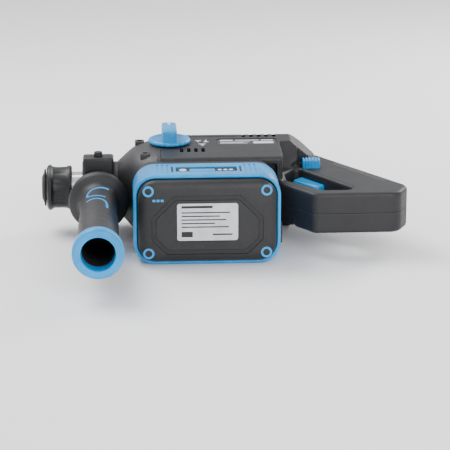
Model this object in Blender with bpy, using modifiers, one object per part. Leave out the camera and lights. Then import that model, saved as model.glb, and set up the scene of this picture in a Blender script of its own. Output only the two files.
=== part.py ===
"""Cordless SDS-plus rotary hammer drill as an assembly of separate pieces.

Tool frame, in millimetres: X runs along the barrel from the nose (-) to the rear handle (+), Y points to the top
of the tool, Z to its left side. The origin is on the barrel axis, below the mode selector. The tool lies on its
right side, so its left side faces up.
"""
import math

import bmesh
import bpy
from mathutils import Matrix, Vector

MM = 0.001
GAP = 0.3                              # between touching pieces
TOOL_ORIGIN = (-42.57, 75.5, 37.5)     # the tool frame's origin in the world

# Housing
HALF_WIDTH = 37.5                      # body and battery, so both meet the floor
TOP_Y = 39.0
BODY_FRONT_X = -8.0
BODY_BOTTOM_Y = -50.0
WALL = 2.5
CAVITY_BOTTOM_Y = -35.5
BAY_X = (4.0, 88.0)
BAY_TOP_Y = -38.0
BAY_HALF = 32.0
GRIP_HALF = 17.0
GRIP_TOP = (109.0, -11.0)              # where the grip's front face starts
GRIP_ALONG = (0.551, -0.8345)          # down the grip
GRIP_IN = (0.8345, 0.551)              # from the front strap into the grip
GRIP_DEPTH = 40.0                      # front strap to back strap
PAD_DEPTH = 2.5
BOSSES = [(2, 30), (60, 31), (104, 24), (171, -74), (103, -66)]
HEAD_DEPTH = [25.0, 25.0, 18.0, 9.0, 9.0]      # from the parting plane to each screw's head seat

# Barrel and drive
COLLAR_R = 21.5
COLLAR_X = (-74.0, -44.0)
BEARING_R = 15.2
TUBE_R = 13.0
TUBE_X = (-104.0, -6.0)
NOSE_R = 9.0
TOOL_BORE_R = 5.2                      # takes a 10 mm SDS-plus shank
PISTON_BORE_R = 9.1
SLEEVE_TRAVEL = 7.5
MODULE = 1.0
SPINDLE_TEETH = 32
LAY_PINION_TEETH = 12
LAY_GEAR_TEETH = 22
MOTOR_TEETH = 10
LAY_Y = -MODULE * (SPINDLE_TEETH + LAY_PINION_TEETH) / 2
MOTOR_Y = LAY_Y + MODULE * (LAY_GEAR_TEETH + MOTOR_TEETH) / 2

# Battery
PACK_X = (-32.0, 87.0)
PACK_TOP_Y = -51.0
PACK_BOTTOM_Y = -108.0
PACK_SPLIT_Y = -62.0
CELL_R = 9.1
CELL_PITCH = 19.0
CELL_COUNT = 5

# Side handle
SIDE_X = -60.0
SIDE_END_Y = -190.0

for old in list(bpy.data.objects):
    bpy.data.objects.remove(old, do_unlink=True)

scene = bpy.context.scene
parts = bpy.data.collections.new("rotary_hammer_drill")
guides = bpy.data.collections.new("cutters")
scene.collection.children.link(parts)
scene.collection.children.link(guides)

tool = bpy.data.objects.new("tool_frame", None)
tool.location = Vector(TOOL_ORIGIN) * MM
parts.objects.link(tool)

ROTATION = {"X": (0, math.pi / 2, 0), "Y": (-math.pi / 2, 0, 0), "Z": (0, 0, 0), "-Y": (math.pi / 2, 0, 0)}

FINISHES = {
    "graphite": ((0.045, 0.044, 0.048), 0.55, 0.0),
    "gear_grey": ((0.11, 0.11, 0.115), 0.5, 0.0),
    "black": ((0.012, 0.012, 0.013), 0.5, 0.0),
    "rubber": ((0.02, 0.02, 0.022), 0.8, 0.0),
    "blue": ((0.05, 0.42, 0.80), 0.4, 0.0),
    "steel": ((0.55, 0.55, 0.56), 0.3, 1.0),
    "dark_steel": ((0.2, 0.2, 0.21), 0.35, 1.0),
    "brass": ((0.75, 0.55, 0.25), 0.3, 1.0),
    "copper": ((0.72, 0.35, 0.18), 0.4, 1.0),
    "aluminium": ((0.65, 0.66, 0.67), 0.4, 1.0),
    "board": ((0.02, 0.18, 0.07), 0.5, 0.0),
    "clear": ((0.85, 0.88, 0.9), 0.15, 0.0),
    "cell": ((0.1, 0.32, 0.2), 0.4, 0.0),
    "silver": ((0.5, 0.52, 0.55), 0.35, 0.0),
}


def paint(obj, name, kind):
    """The material of one sub-part: a Principled BSDF of its own."""
    colour, rough, metal = FINISHES[kind]
    mat = bpy.data.materials.new(name)
    mat.use_nodes = True
    shader = mat.node_tree.nodes["Principled BSDF"]
    shader.inputs["Base Color"].default_value = (*colour, 1.0)
    shader.inputs["Roughness"].default_value = rough
    shader.inputs["Metallic"].default_value = metal
    obj.data.materials.clear()
    obj.data.materials.append(mat)


def place(name, mesh, at, rotation=(0, 0, 0), look=None):
    """Put a mesh in the tool frame: a sub-part if it has a look, a cutter if not."""
    obj = bpy.data.objects.new(name, mesh)
    obj.parent = tool
    obj.location = Vector(at) * MM
    obj.rotation_euler = rotation
    if look:
        parts.objects.link(obj)
        paint(obj, name, look)
    else:
        guides.objects.link(obj)
        obj.hide_render = True
        obj.display_type = "WIRE"
    return obj


def block(name, low, high, look=None, bevel=0.0):
    """A box between two corners, with rounded edges if asked."""
    low, high = Vector(low), Vector(high)
    bm = bmesh.new()
    bmesh.ops.create_cube(bm, size=1.0)
    bmesh.ops.scale(bm, vec=(high - low) * MM, verts=bm.verts)
    mesh = bpy.data.meshes.new(name)
    bm.to_mesh(mesh)
    bm.free()
    obj = place(name, mesh, (low + high) / 2, look=look)
    if bevel:
        soften(obj, bevel)
    return obj


def soften(obj, width, segments=1):
    """Rounded edges wherever two faces meet at more than 30 degrees."""
    edge = obj.modifiers.new("soften", "BEVEL")
    edge.width = width * MM
    edge.segments = segments
    edge.limit_method = "ANGLE"
    edge.angle_limit = math.radians(30)


def turned(name, profile, at, axis, look=None, steps=24, ring=False):
    """A turned piece: (radius, height) points down the outer side, spun about its local Z."""
    bm = bmesh.new()
    dots = [bm.verts.new((r * MM, 0, h * MM)) for r, h in profile]
    for a, b in zip(dots, dots[1:]):
        bm.edges.new((a, b))
    if ring:
        bm.edges.new((dots[-1], dots[0]))
    mesh = bpy.data.meshes.new(name)
    bm.to_mesh(mesh)
    bm.free()
    obj = place(name, mesh, at, ROTATION[axis], look)
    spin = obj.modifiers.new("spin", "SCREW")
    spin.steps = steps
    spin.render_steps = steps
    spin.use_merge_vertices = True
    spin.merge_threshold = 0.00001
    return obj


def rod(name, radius, low, high, at, axis, look=None, steps=16):
    """A plain round bar from low to high along its axis."""
    return turned(name, [(0, high), (radius, high), (radius, low), (0, low)], at, axis, look, steps)


def tube(name, outer, inner, low, high, at, axis, look=None, steps=24):
    """A plain round ring from low to high along its axis."""
    profile = [(outer, high), (outer, low), (inner, low), (inner, high)]
    return turned(name, profile, at, axis, look, steps, ring=True)


def flat(name, outlines, thickness, at, rotation=(0, 0, 0), look=None):
    """A flat outline, holes included, as a filled 2D curve turned into a welded mesh."""
    curve = bpy.data.curves.new(name, "CURVE")
    curve.dimensions = "2D"
    curve.fill_mode = "BOTH"
    curve.extrude = thickness * MM / 2
    for outline in outlines:
        spline = curve.splines.new("POLY")
        spline.points.add(len(outline) - 1)
        for point, (x, y) in zip(spline.points, outline):
            point.co = (x * MM, y * MM, 0, 1)
        spline.use_cyclic_u = True
    holder = bpy.data.objects.new(name + "_curve", curve)
    scene.collection.objects.link(holder)
    graph = bpy.context.evaluated_depsgraph_get()
    mesh = bpy.data.meshes.new_from_object(holder.evaluated_get(graph))
    bpy.data.objects.remove(holder, do_unlink=True)
    bm = bmesh.new()
    bm.from_mesh(mesh)
    bmesh.ops.remove_doubles(bm, verts=bm.verts, dist=0.00001)
    bmesh.ops.recalc_face_normals(bm, faces=bm.faces)
    bm.to_mesh(mesh)
    bm.free()
    mesh.materials.clear()
    mesh.name = name
    return place(name, mesh, at, rotation, look)


def combine(obj, operation, *others):
    """Boolean modifiers, one for each other piece."""
    for other in others:
        step = obj.modifiers.new(operation.lower(), "BOOLEAN")
        step.operation = operation
        step.object = other
        step.solver = "EXACT"
    return obj


def rounded(corners, steps=3):
    """An outline through (x, y, radius) corners, each rounded by an arc."""
    points = []
    for i, (x, y, radius) in enumerate(corners):
        here = Vector((x, y))
        if radius == 0:
            points.append((x, y))
            continue
        before = (Vector(corners[i - 1][:2]) - here).normalized()
        after = (Vector(corners[(i + 1) % len(corners)][:2]) - here).normalized()
        half = before.angle(after) / 2
        reach = radius / math.tan(half)
        centre = here + (before + after).normalized() * radius / math.sin(half)
        start = here + before * reach - centre
        sweep = start.angle_signed(here + after * reach - centre)
        for k in range(steps + 1):
            turn = Matrix.Rotation(-sweep * k / steps, 2)
            spot = centre + turn @ start
            points.append((spot.x, spot.y))
    return points


def rectangle(x0, x1, y0, y1, radius, steps=3):
    return rounded([(x0, y0, radius), (x1, y0, radius), (x1, y1, radius), (x0, y1, radius)], steps)


def grip_point(along, inward):
    """A point of the grip: distance down the front strap, and distance into the grip from it."""
    return (GRIP_TOP[0] + along * GRIP_ALONG[0] + inward * GRIP_IN[0],
            GRIP_TOP[1] + along * GRIP_ALONG[1] + inward * GRIP_IN[1])


def involute(angle):
    return math.tan(angle) - angle


def gear_outline(teeth, tooth_at):
    """Involute teeth of module 1, slightly thinned so that a meshed pair never touches."""
    pressure = math.radians(20)
    pitch_r = MODULE * teeth / 2
    base_r = pitch_r * math.cos(pressure)
    tip_r = pitch_r + 0.75 * MODULE
    root_r = pitch_r - 1.15 * MODULE
    half_tooth = math.pi / (2 * teeth) - 0.14 / pitch_r

    def flank(radius):
        if radius <= base_r:
            return half_tooth + involute(pressure)
        return half_tooth + involute(pressure) - involute(math.acos(base_r / radius))

    radii = [root_r, (root_r + tip_r) / 2, tip_r]
    points = []
    for k in range(teeth):
        middle = tooth_at + 2 * math.pi * k / teeth
        side = [(r, middle - flank(r)) for r in radii] + [(r, middle + flank(r)) for r in reversed(radii)]
        points += [(r * math.cos(a), r * math.sin(a)) for r, a in side]
    return points


def circle(radius, steps=24):
    return [(radius * math.cos(2 * math.pi * k / steps), radius * math.sin(2 * math.pi * k / steps))
            for k in range(steps)]


def gear(name, teeth, bore, width, x, y, tooth_at):
    """A spur gear whose axis lies along the barrel."""
    outlines = [gear_outline(teeth, tooth_at), circle(bore)]
    return flat(name, outlines, width, (x, y, 0), ROTATION["X"], "dark_steel")


# Housing shells: one outer body and one cavity, cut for each half

ACROSS = rounded([(BODY_BOTTOM_Y, -HALF_WIDTH, 3), (TOP_Y, -HALF_WIDTH, 15),
                  (TOP_Y, HALF_WIDTH, 15), (BODY_BOTTOM_Y, HALF_WIDTH, 3)])
SIDE_VIEW = rounded([(-30, BODY_BOTTOM_Y, 0), (92, BODY_BOTTOM_Y, 3), (94, -24, 10), (104, -8, 6), (116, -6, 0),
                     (126, 30, 4), (112, TOP_Y, 6), (40, TOP_Y, 0), (-30, 35, 0)])
TOP_VIEW = [(-30, -HALF_WIDTH - 1), (101, -HALF_WIDTH - 1), (128, -16.5), (128, 16.5), (101, HALF_WIDTH + 1),
            (-30, HALF_WIDTH + 1)]
SHOULDER_X = 93.0                      # behind it the body slopes in towards the grip
HANDLE = rounded([(84, -46, 0), (115, -90, 8), (184, -90, 12), (195, -68, 12), (129, 31, 8), (116, TOP_Y, 8),
                  (84, TOP_Y, 0)], 4)
OPENING = rounded([(96, -46, 5), (96, -25, 8), (*grip_point(-3, 0), 4), (*grip_point(79, 0), 6), (122, -77, 6)])
GRIP_CORE = [grip_point(*p) for p in [(-10, WALL), (78, WALL), (74, 35), (-10, 35)]]


def beam(name, outline, low, high, look=None):
    """A flat outline in the tool's side view, thick from low to high across the tool."""
    return flat(name, [outline], high - low, (0, 0, (low + high) / 2), look=look)


def cross_beam(name, outline, low, high, look=None):
    """A (y, z) outline drawn out along the barrel."""
    turned_outline = [(-z, y) for y, z in outline]
    return flat(name, [turned_outline], high - low, ((low + high) / 2, 0, 0), ROTATION["X"], look)


def top_beam(name, outlines, low, high, look=None):
    """(x, z) outlines drawn out along the tool's height."""
    return flat(name, outlines, high - low, (0, (low + high) / 2, 0), ROTATION["-Y"], look)


def shoulder(name, side):
    """Cuts the body's corner back to the grip's width, on one side."""
    slope = [(3, HALF_WIDTH + 2), (-12, GRIP_HALF), (-60, GRIP_HALF), (-60, 60), (3, 60)]
    return cross_beam(name, [(y, side * z) for y, z in slope], SHOULDER_X, 135)


side_guide = beam("side_guide", SIDE_VIEW, -50, 50)
top_guide = top_beam("top_guide", [TOP_VIEW], -60, 60)
handle_guide = beam("handle_guide", HANDLE, -GRIP_HALF, GRIP_HALF)
soften(handle_guide, 4)
opening_guide = beam("opening_guide", OPENING, -30, 30)
CAVITY_ACROSS = rounded([(CAVITY_BOTTOM_Y, -HALF_WIDTH + WALL, 2), (TOP_Y - WALL, -HALF_WIDTH + WALL, 13),
                         (TOP_Y - WALL, HALF_WIDTH - WALL, 13), (CAVITY_BOTTOM_Y, HALF_WIDTH - WALL, 2)])
cavity_guide = cross_beam("cavity_guide", CAVITY_ACROSS, -20, 101)
CAVITY_TOP = [(-30, -HALF_WIDTH + WALL), (97, -HALF_WIDTH + WALL), (101, -31), (101, 31),
              (97, HALF_WIDTH - WALL), (-30, HALF_WIDTH - WALL)]
CAVITY_SIDE = [(-30, -36), (88.5, -36), (88.5, 6), (101, 8), (101, 36), (40, 36.5), (-30, 34)]
combine(cavity_guide, "INTERSECT", top_beam("cavity_top", [CAVITY_TOP], -60, 60),
        beam("cavity_side", CAVITY_SIDE, -50, 50))
GRIP_ROOM = GRIP_HALF - PAD_DEPTH - WALL
grip_cavity = beam("grip_cavity", GRIP_CORE, -GRIP_ROOM, GRIP_ROOM)
boss_guides = [rod(f"boss_{i}", 4.5, -50, 50, (x, y, 0), "Z", steps=12) for i, (x, y) in enumerate(BOSSES[:3])]
combine(cavity_guide, "DIFFERENCE", *boss_guides)
combine(grip_cavity, "DIFFERENCE", rod("boss_grip", 4.5, -50, 50, (*BOSSES[3], 0), "Z", steps=12))
bay_guide = block("bay_guide", (BAY_X[0], BODY_BOTTOM_Y - 5, -BAY_HALF), (BAY_X[1], BAY_TOP_Y, BAY_HALF))
knob_hole = rod("knob_hole", 6.4, 20, 50, (0, 0, 0), "Z")
lens_pocket = block("lens_pocket", (-3.3, BODY_BOTTOM_Y - 2, 14.7), (3.3, BODY_BOTTOM_Y + 4.3, 28.3))
SLIDER_LOW = Vector((112.0, -13.0, 16.0))
SLIDER_HIGH = Vector((127.0, -3.0, 24.5))
SLIDER_TRAVEL = 4.0
SLIDE_ROOM = Vector((GAP, GAP, SLIDER_TRAVEL + GAP))
slider_slot = block("slider_slot", SLIDER_LOW - SLIDE_ROOM, SLIDER_HIGH + SLIDE_ROOM)
slider_dish = block("slider_dish", (108, -17, GRIP_HALF), (131, 1, 40), bevel=1.5)
TRIGGER_SLOT = [grip_point(*p) for p in [(1.6, -6), (34.4, -6), (34.4, 14.5), (1.6, 14.5)]]
trigger_slot = beam("trigger_slot", TRIGGER_SLOT, -10.4, 10.4)

pad_region = [grip_point(*p) for p in [(4, 30), (74, 30), (68, 60), (4, 60)]]


def pad_core(name, gap):
    """The part of the grip that the pad wraps round, grown by a gap."""
    depth = GRIP_DEPTH - PAD_DEPTH + gap
    half = GRIP_HALF - PAD_DEPTH + gap
    return beam(name, [grip_point(*p) for p in [(-20, 20), (100, 20), (100, depth), (-20, depth)]], -half, half)


pad_outer = [grip_point(*p) for p in [(4 - GAP, 30 - GAP), (74 + GAP, 30 - GAP), (68 + GAP, 60), (4 - GAP, 60)]]
pad_recess = combine(beam("pad_recess", pad_outer, -30, 30), "DIFFERENCE",
                     pad_core("pad_seat", 0))


def housing(name, side):
    """One moulded shell: the body and the D-handle, hollow, cut at the parting plane."""
    shell = cross_beam(name, ACROSS, BODY_FRONT_X, 130, "graphite")
    combine(shell, "INTERSECT", side_guide, top_guide)
    combine(shell, "DIFFERENCE", shoulder(name + "_shoulder", side))
    combine(shell, "UNION", handle_guide)
    combine(shell, "DIFFERENCE", opening_guide, cavity_guide, grip_cavity, bay_guide, trigger_slot, pad_recess)
    near, far = sorted((side * GAP / 2, side * 60))
    combine(shell, "INTERSECT", block(name + "_half", (-20, -120, near), (220, 60, far)))
    if side > 0:
        combine(shell, "DIFFERENCE", knob_hole, lens_pocket, slider_dish, slider_slot)
        holes = [rod(f"pilot_{i}", 2.1, -1, 12, (x, y, 0), "Z", steps=10) for i, (x, y) in enumerate(BOSSES)]
    else:
        holes = [turned(f"screw_hole_{i}", [(0, 1), (2.1, 1), (2.1, -head - 2.2), (4.2, -head - 2.2),
                                            (4.2, -50), (0, -50)], (x, y, 0), "Z", steps=10)
                 for i, ((x, y), head) in enumerate(zip(BOSSES, HEAD_DEPTH))]
    combine(shell, "DIFFERENCE", *holes)
    return shell


housing("housing_left", 1)
housing("housing_right", -1)

for i, ((x, y), head) in enumerate(zip(BOSSES, HEAD_DEPTH)):
    turned(f"housing_screw_{i + 1}", [(0, 9), (1.7, 9), (1.7, -head - 2.5), (3.7, -head - 2.5), (3.7, -head - 4.7),
                                      (1.6, -head - 4.7), (1.6, -head - 3.5), (0, -head - 3.5)],
           (x, y, 0), "Z", "dark_steel", 10)

pad = beam("grip_pad", HANDLE, -GRIP_HALF, GRIP_HALF, "rubber")
soften(pad, 4)
combine(pad, "INTERSECT", beam("pad_limits", pad_region, -30, 30))
combine(pad, "DIFFERENCE", pad_core("pad_inside", GAP))

# Gear housing: a loft from the round collar to the section of the body


def section(x, low, high, half_width, power, steps=32):
    """A closed ring round the barrel: an ellipse that grows squarer with its power."""
    ring = []
    for k in range(steps):
        a = 2 * math.pi * k / steps
        c, s = math.cos(a), math.sin(a)
        y = (low + high) / 2 + (high - low) / 2 * math.copysign(abs(c) ** (2 / power), c)
        z = half_width * math.copysign(abs(s) ** (2 / power), s)
        ring.append(Vector((x, y, z)) * MM)
    return ring


OUTER = [(COLLAR_X[0], -COLLAR_R, COLLAR_R, COLLAR_R, 2), (COLLAR_X[1], -COLLAR_R, COLLAR_R, COLLAR_R, 2),
         (-38, -28, 26, 27, 2.2), (-30, -40, 32, 33.5, 2.6), (-20, -45.5, 34.5, 36.5, 3.4),
         (BODY_FRONT_X - GAP, -46, 35.5, HALF_WIDTH, 4)]
INNER = [(COLLAR_X[0], -BEARING_R, BEARING_R, BEARING_R, 2), (COLLAR_X[1], -BEARING_R, BEARING_R, BEARING_R, 2),
         (-38, -24, 22, 23, 2.2), (-30, -36, 28, 29.5, 2.6), (-20, -41.5, 31, 32.5, 3.4),
         (BODY_FRONT_X - GAP, -42, 32, 34, 4)]
bm = bmesh.new()
loop = [[bm.verts.new(p) for p in section(*ring)] for ring in OUTER + INNER[::-1]]
for ring, following in zip(loop, loop[1:] + loop[:1]):
    for k in range(len(ring)):
        nxt = (k + 1) % len(ring)
        bm.faces.new((ring[k], ring[nxt], following[nxt], following[k]))
bmesh.ops.recalc_face_normals(bm, faces=bm.faces)
mesh = bpy.data.meshes.new("gear_housing")
bm.to_mesh(mesh)
bm.free()
place("gear_housing", mesh, (0, 0, 0), look="gear_grey")

# Hammer tube, chuck and what turns with them
BALL_X = -99.0
hammer_tube = turned("hammer_tube", [(NOSE_R, TUBE_X[0]), (TOOL_BORE_R, TUBE_X[0]), (TOOL_BORE_R, -62), (6.4, -62),
                                     (6.4, -50), (PISTON_BORE_R, -50), (PISTON_BORE_R, TUBE_X[1]),
                                     (TUBE_R, TUBE_X[1]), (TUBE_R, -83), (NOSE_R, -83)],
                     (0, 0, 0), "X", "steel", 32, ring=True)
combine(hammer_tube, "DIFFERENCE", block("ball_slot", (BALL_X - 4, 0, -3.4), (BALL_X + 4, 12, 3.4)))
bm = bmesh.new()
bmesh.ops.create_uvsphere(bm, u_segments=12, v_segments=8, radius=3.0 * MM)
mesh = bpy.data.meshes.new("locking_ball")
bm.to_mesh(mesh)
bm.free()
place("locking_ball", mesh, (BALL_X, 6.0, 0), look="steel")
gear("spindle_gear", SPINDLE_TEETH, TUBE_R + GAP, 8, -12.5, 0, -math.pi / 2)
tube("front_bearing", BEARING_R - GAP, TUBE_R + GAP, -66, -54, (0, 0, 0), "X", "steel")
tube("front_seal", BEARING_R - GAP, TUBE_R + GAP, -73.7, -69, (0, 0, 0), "X", "rubber")
turned("sds_sleeve", [(18, -82.5), (18.6, -86), (17.4, -96), (19.5, -100.5), (19, -103), (17, -104), (9.4, -104),
                      (9.4, -94), (13.6, -94), (13.6, -82.5)], (0, 0, 0), "X", "black", 32, ring=True)
turned("dust_cap", [(16, -104.3 - GAP), (15.5, -106), (11, -108), (5.6, -108), (5.6, -104.3 - GAP)],
       (0, 0, 0), "X", "rubber", 24, ring=True)
tube("sleeve_spring", 12.6, 10.2, -85.8, -83.3, (0, 0, 0), "X", "steel")
turned("beat_piece", [(0, -47), (8.5, -47), (8.5, -49.7), (6.0, -49.7), (6.0, -61.5), (4.8, -61.5), (4.8, -72),
                      (0, -72)], (0, 0, 0), "X", "steel")
turned("striker", [(0, -26), (8.6, -26), (8.6, -34), (5, -34), (5, -38), (0, -38)], (0, 0, 0), "X", "steel")

# Impact drive: piston, wobble ring, lay shaft with its gears
WOBBLE_X = 10.0
piston = turned("piston", [(0, 5), (8.6, 5), (8.6, -16), (0, -16)], (0, 0, 0), "X", "aluminium")
combine(piston, "UNION", block("piston_eye", (4, -4, -6), (16, 4, 6)))
combine(piston, "DIFFERENCE", block("finger_slot", (WOBBLE_X - 3.5, -5, -3), (WOBBLE_X + 3.5, 5, 3)))
wobble = turned("wobble_ring", [(13, 3), (13, -3), (9.4, -3), (9.4, 3)], (WOBBLE_X, LAY_Y, 0), "X", "steel",
                ring=True)
combine(wobble, "UNION", rod("wobble_finger", 2.0, 11, 24, (WOBBLE_X, LAY_Y, 0), "Y", steps=10))
turned("intermediate_shaft", [(0, 34), (4, 34), (4, 16), (5.5, 14), (5.5, 6), (4, 4), (4, -32), (0, -32)],
       (0, LAY_Y, 0), "X", "steel")
gear("intermediate_pinion", LAY_PINION_TEETH, 4 + GAP, 10, -12.5, LAY_Y, math.pi / 2 + math.pi / LAY_PINION_TEETH)
gear("intermediate_gear", LAY_GEAR_TEETH, 4 + GAP, 6, 27, LAY_Y, math.pi / 2)
tube("intermediate_bearing", 8.5, 4 + GAP, -31, -25, (0, LAY_Y, 0), "X", "steel", 20)
FLANGE = [rectangle(-26, 26, -33, 22, 6), circle(9.5),
          [(x, y + LAY_Y) for x, y in circle(6.5, 16)]]
flat("bearing_flange", FLANGE, 4, (-2.5, 0, 0), ROTATION["X"], "aluminium")

# Motor
turned("rotor_shaft", [(0, 87), (2.5, 87), (2.5, 22), (0, 22)], (0, MOTOR_Y, 0), "X", "steel", 12)
gear("motor_pinion", MOTOR_TEETH, 2.5 + GAP, 8, 27, MOTOR_Y, -math.pi / 2 + math.pi / MOTOR_TEETH)
tube("motor_bearing_front", 9.5, 2.5 + GAP, 33, 38, (0, MOTOR_Y, 0), "X", "steel", 20)
tube("rotor_magnets", 12.5, 2.5 + GAP, 42, 70, (0, MOTOR_Y, 0), "X", "dark_steel")
SLOT_COUNT = 6


def stator_bore(teeth):
    """The stator's inside: a tooth reaching in between each pair of winding slots."""
    points = []
    for k in range(teeth):
        middle = 2 * math.pi * k / teeth
        for angle, radius in [(-0.32, 13.3), (0.32, 13.3), (0.36, 21), (0.68, 21)]:
            points.append((radius * math.cos(middle + angle), radius * math.sin(middle + angle)))
    return points


flat("stator", [circle(26, 32), stator_bore(SLOT_COUNT)], 30, (56, MOTOR_Y, 0), ROTATION["X"], "copper")
FAN_BLADES = 9


def fan_outline(blades):
    points = []
    for k in range(blades):
        middle = 2 * math.pi * k / blades
        for angle, radius in [(0.0, 8), (0.12, 22), (0.2, 22), (0.16, 8)]:
            points.append((radius * math.cos(middle + angle), radius * math.sin(middle + angle)))
    return points


flat("cooling_fan", [fan_outline(FAN_BLADES), circle(2.5 + GAP, 12)], 5, (76, MOTOR_Y, 0), ROTATION["X"], "black")
tube("motor_bearing_rear", 8, 2.5 + GAP, 80, 86, (0, MOTOR_Y, 0), "X", "steel", 20)

# Controls
knob = turned("mode_knob", [(0, 42), (17, 42), (18, 41), (18, 38.3), (6, 38.3), (6, 30), (0, 30)],
              (0, 0, 0), "Z", "blue", 32)
knob_bar = block("knob_bar", (-6.5, -16.5, 40), (6.5, 16.5, 52), bevel=2.5)
combine(knob, "UNION", knob_bar)
TRIGGER = rounded([(*grip_point(2, 6.5), 0), (*grip_point(2, -2), 2), (*grip_point(5, -12), 4),
                   (*grip_point(20, -10), 14), (*grip_point(34, -8), 3), (*grip_point(34, 6.5), 0)])
beam("trigger", TRIGGER, -10, 10, "blue")
SWITCH = [grip_point(*p) for p in [(3, 15), (36, 15), (36, 31), (3, 31)]]
beam("trigger_switch", SWITCH, -11, 11, "black")
block("direction_slider", SLIDER_LOW, SLIDER_HIGH, "blue", 0.8)
block("control_board", (18, 24.5, -20), (52, 26.5, 20), "board")
block("work_light_lens", (-3, BODY_BOTTOM_Y - 0.3, 15), (3, BODY_BOTTOM_Y + 4, 28), "clear")
block("terminal_block", (37, -48, -18), (70, BAY_TOP_Y - GAP, 18), "black", 0.8)
for i, z in enumerate((9.5, 0, -9.5)):
    block(f"terminal_blade_{i + 1}", (23.5, -46, z - 0.4), (37 - GAP, -40, z + 0.4), "brass")

# Battery
SKIN = 3.0
CASE_OUTLINE = rectangle(PACK_X[0] + SKIN + GAP, PACK_X[1] - SKIN - GAP, -HALF_WIDTH + SKIN + GAP,
                         HALF_WIDTH - SKIN - GAP, 15, 4)
BUMPER_OUTLINE = rectangle(*PACK_X, -HALF_WIDTH, HALF_WIDTH, 18, 5)
BUMPER_INSIDE = rectangle(PACK_X[0] + SKIN, PACK_X[1] - SKIN, -HALF_WIDTH + SKIN, HALF_WIDTH - SKIN, 15.2, 4)
case = top_beam("battery_case", [CASE_OUTLINE], PACK_BOTTOM_Y, PACK_SPLIT_Y, "graphite")
soften(case, 3)
case_hollow = top_beam("case_hollow", [rectangle(-26.5, 81.5, -32.6, 32.6, 8)], PACK_BOTTOM_Y + 2.4, PACK_SPLIT_Y + 5)
combine(case, "DIFFERENCE", case_hollow)
bumper = top_beam("battery_bumper", [BUMPER_OUTLINE, BUMPER_INSIDE], -101, -65, "blue")
GAUGE_X = (3.0, 52.0)
gauge_window = block("gauge_window", (GAUGE_X[0] - GAP, -90 - GAP, 34), (GAUGE_X[1] + GAP, -77 + GAP, 40))
combine(bumper, "DIFFERENCE", gauge_window)
block("battery_gauge", (GAUGE_X[0], -90, 34.5), (GAUGE_X[1], -77, 36.8), "black", 0.6)
cover = top_beam("battery_cover", [rectangle(PACK_X[0] + 2, PACK_X[1] - 2, -35.5, 35.5, 15, 4)],
                 PACK_SPLIT_Y + GAP, PACK_TOP_Y, "graphite")
tongue = block("tongue", (10, -55, -28), (82, -40, 28))
combine(cover, "UNION", tongue)
combine(cover, "DIFFERENCE", block("tongue_pocket", (21, -49.5, -20), (72, -35, 20)),
        top_beam("cover_hollow", [rectangle(-26, 81, -31, 31, 8)], PACK_SPLIT_Y - 5, -54),
        block("release_notch", (-31, -59.5, -12.3), (-24, -52.5, 12.3)))
block("battery_release", (-29.7, -59, -12), (-26.7, -53, 12), "blue", 0.6)
block("battery_board", (-20, -60.5, -26), (76, -58.9, 26), "board")
cell_x0 = sum(PACK_X) / 2 - CELL_PITCH * (CELL_COUNT - 1) / 2
CELL_Y = (-76.9, -95.9)
for i in range(CELL_COUNT):
    x = cell_x0 + i * CELL_PITCH
    cell = rod(f"battery_cell_pair_{i + 1}", CELL_R, -31.8, 31.8, (x, CELL_Y[0], 0), "Z", "cell", 16)
    combine(cell, "UNION", rod(f"lower_cell_{i + 1}", CELL_R, -31.8, 31.8, (x, CELL_Y[1], 0), "Z"))
    for end in (-1, 1):
        low, high = sorted((end * 31.2, end * 32.3))
        combine(cell, "UNION", block(f"strap_{i + 1}_{end}", (x - 3, CELL_Y[1], low), (x + 3, CELL_Y[0], high)))

# Side handle, clamped round the collar
base = tube("side_handle_base", 27, COLLAR_R + GAP, -13, 13, (SIDE_X, 0, 0), "X", "black", 32)
foot = block("side_foot", (SIDE_X - 13, -36, -17), (SIDE_X + 13, -20, 17), bevel=2)
boss = block("rod_boss", (SIDE_X - 13, -30, 12), (SIDE_X + 13, -13, 33), bevel=2)
seat = rod("side_seat", 24, -39.5, -34, (SIDE_X, 0, 0), "Y", steps=32)
combine(base, "UNION", foot, boss, seat)
combine(base, "DIFFERENCE", rod("saddle", COLLAR_R + GAP, -20, 20, (SIDE_X, 0, 0), "X", steps=32),
        tube("band_channel", 30, COLLAR_R, -6.6, 6.6, (SIDE_X, 0, 0), "X"),
        block("neck_channel", (SIDE_X - 6.6, -37, -8.6), (SIDE_X + 6.6, -20, 8.6)),
        rod("base_bolt_hole", 4.6, -45, -30, (SIDE_X, 0, 0), "Y"),
        rod("depth_rod_bore", 3.9, -20, 20, (SIDE_X, -22, 26), "X"),
        rod("lock_hole", 3.9, 26, 40, (SIDE_X, -22, 0), "Z"))
band = tube("side_handle_band", 24.2, COLLAR_R + 2 * GAP, -6, 6, (SIDE_X, 0, 0), "X", "steel", 32)
combine(band, "UNION", block("band_neck", (SIDE_X - 6, -35.5, -8), (SIDE_X + 6, -23, 8)))
combine(band, "DIFFERENCE", rod("band_bore", COLLAR_R + 2 * GAP, -20, 20, (SIDE_X, 0, 0), "X", steps=32),
        rod("bolt_hole", 4.3, -40, -29.5, (SIDE_X, 0, 0), "Y"))
rod("side_handle_bolt", 4.0, -75, -30, (SIDE_X, 0, 0), "Y", "steel", 12)
rod("depth_lock_button", 3.5, 30.4, 36.5, (SIDE_X, -22, 0), "Z", "black", 12)
GRIP_PROFILE = [(4.5, -40), (18, -40), (24, -42), (25, -45), (24.4, -48), (19, -52), (15.5, -60), (15.3, -90),
                (16.4, -125), (16, -160), (17.5, -178.3), (12.6, -178.3), (12.6, -120), (6, -115), (6, -78),
                (4.5, -77)]
turned("side_handle_grip", GRIP_PROFILE, (SIDE_X, 0, 0), "Y", "graphite", 28, ring=True)
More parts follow.
